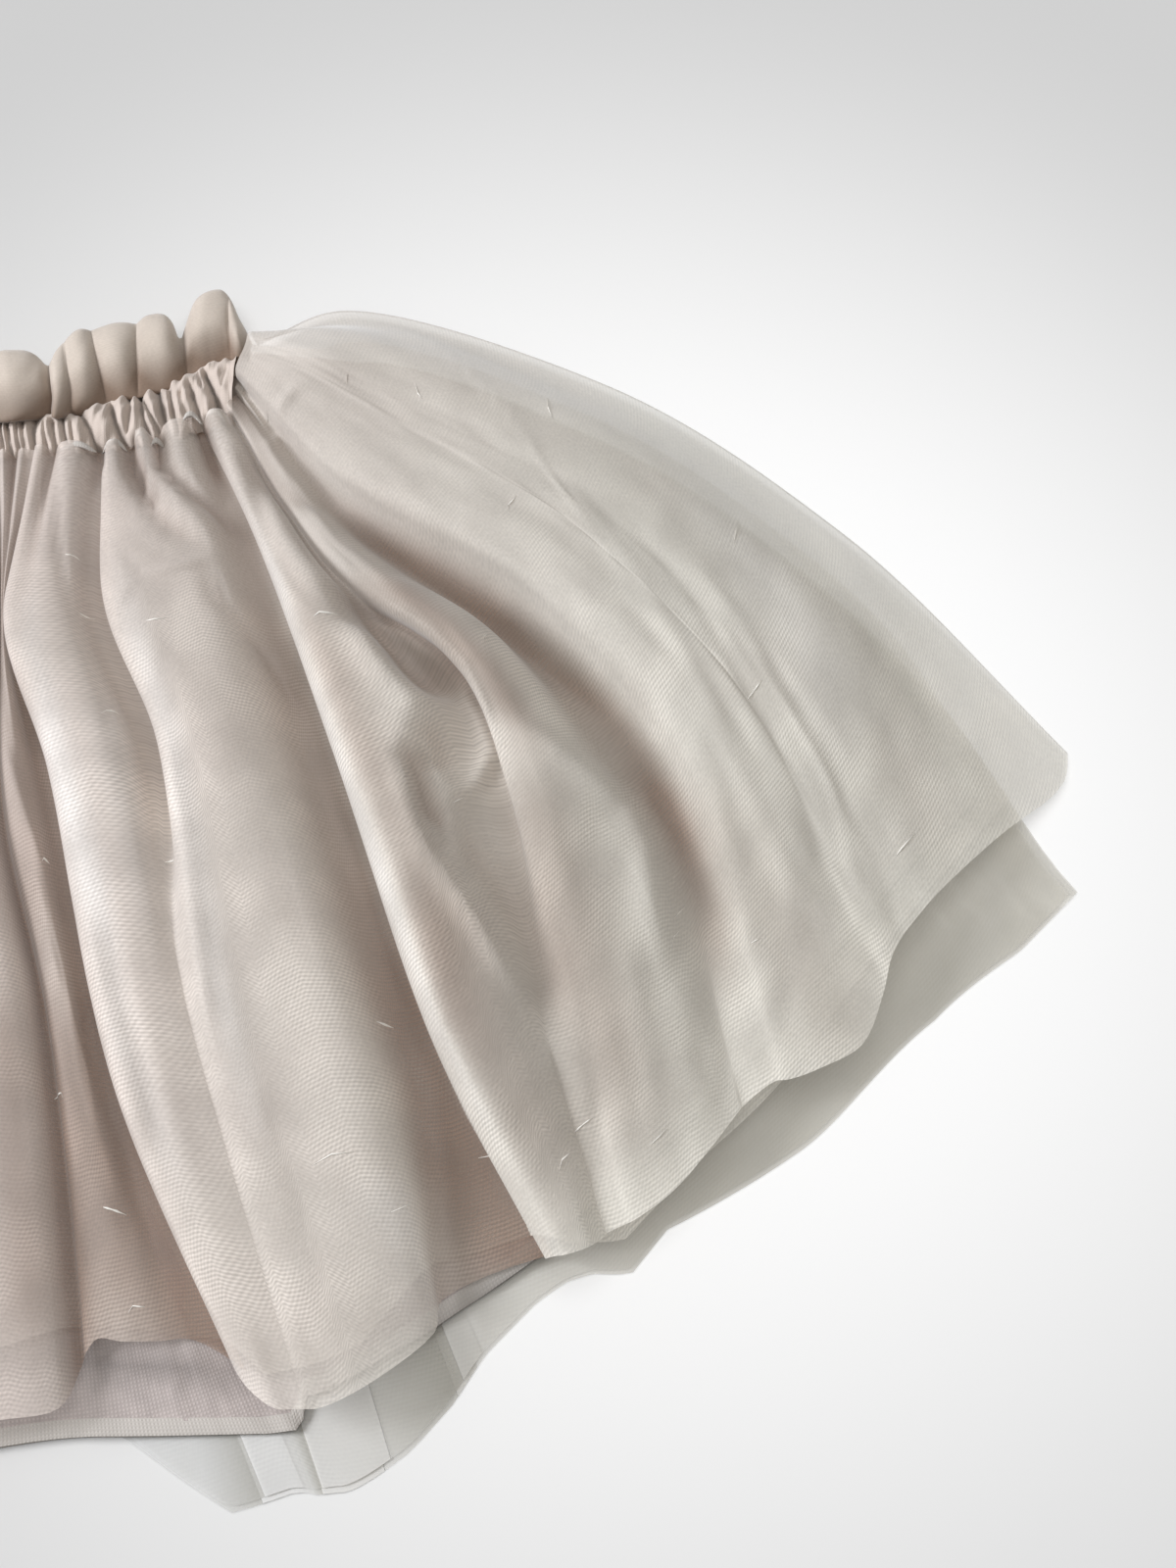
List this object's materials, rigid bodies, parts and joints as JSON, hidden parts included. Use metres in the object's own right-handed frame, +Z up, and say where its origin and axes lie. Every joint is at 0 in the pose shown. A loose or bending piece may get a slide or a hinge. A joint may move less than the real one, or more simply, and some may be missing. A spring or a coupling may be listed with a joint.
{
  "type": "baby's tulle skirt laid flat",
  "caption": "Gathered net skirt with cotton lining, ruched elastic casing and paper-bag frill, laid flat with its front up.",
  "frame": {"origin": "on the underside, in the middle of the back panel, 115 mm below the middle of the waist seam", "axes": "+Z up from the surface the skirt lies on, +Y from the hem to the waist, +X to the right seen with the hem near"},
  "size_m": [0.5899, 0.3133, 0.0259],
  "materials": {
    "tulle": "soft matt nylon net, beige pink, see-through in one layer",
    "under_tulle": "soft matt nylon net, grey green cream where it lies alone",
    "lining": "thin plain-woven cotton, dusty lilac pink",
    "casing": "plain-woven cotton, tightly ruched by elastic",
    "frill": "the net doubled over, denser and warmer"
  },
  "bodies": {
    "root": {"outer_tulle_front": "tulle", "outer_tulle_back": "tulle", "under_tulle_front": "under_tulle", "under_tulle_back": "under_tulle", "lining_front": "lining", "lining_back": "lining", "casing_front": "casing", "casing_back": "casing", "frill_front": "frill", "frill_back": "frill"}
  },
  "joints": []
}
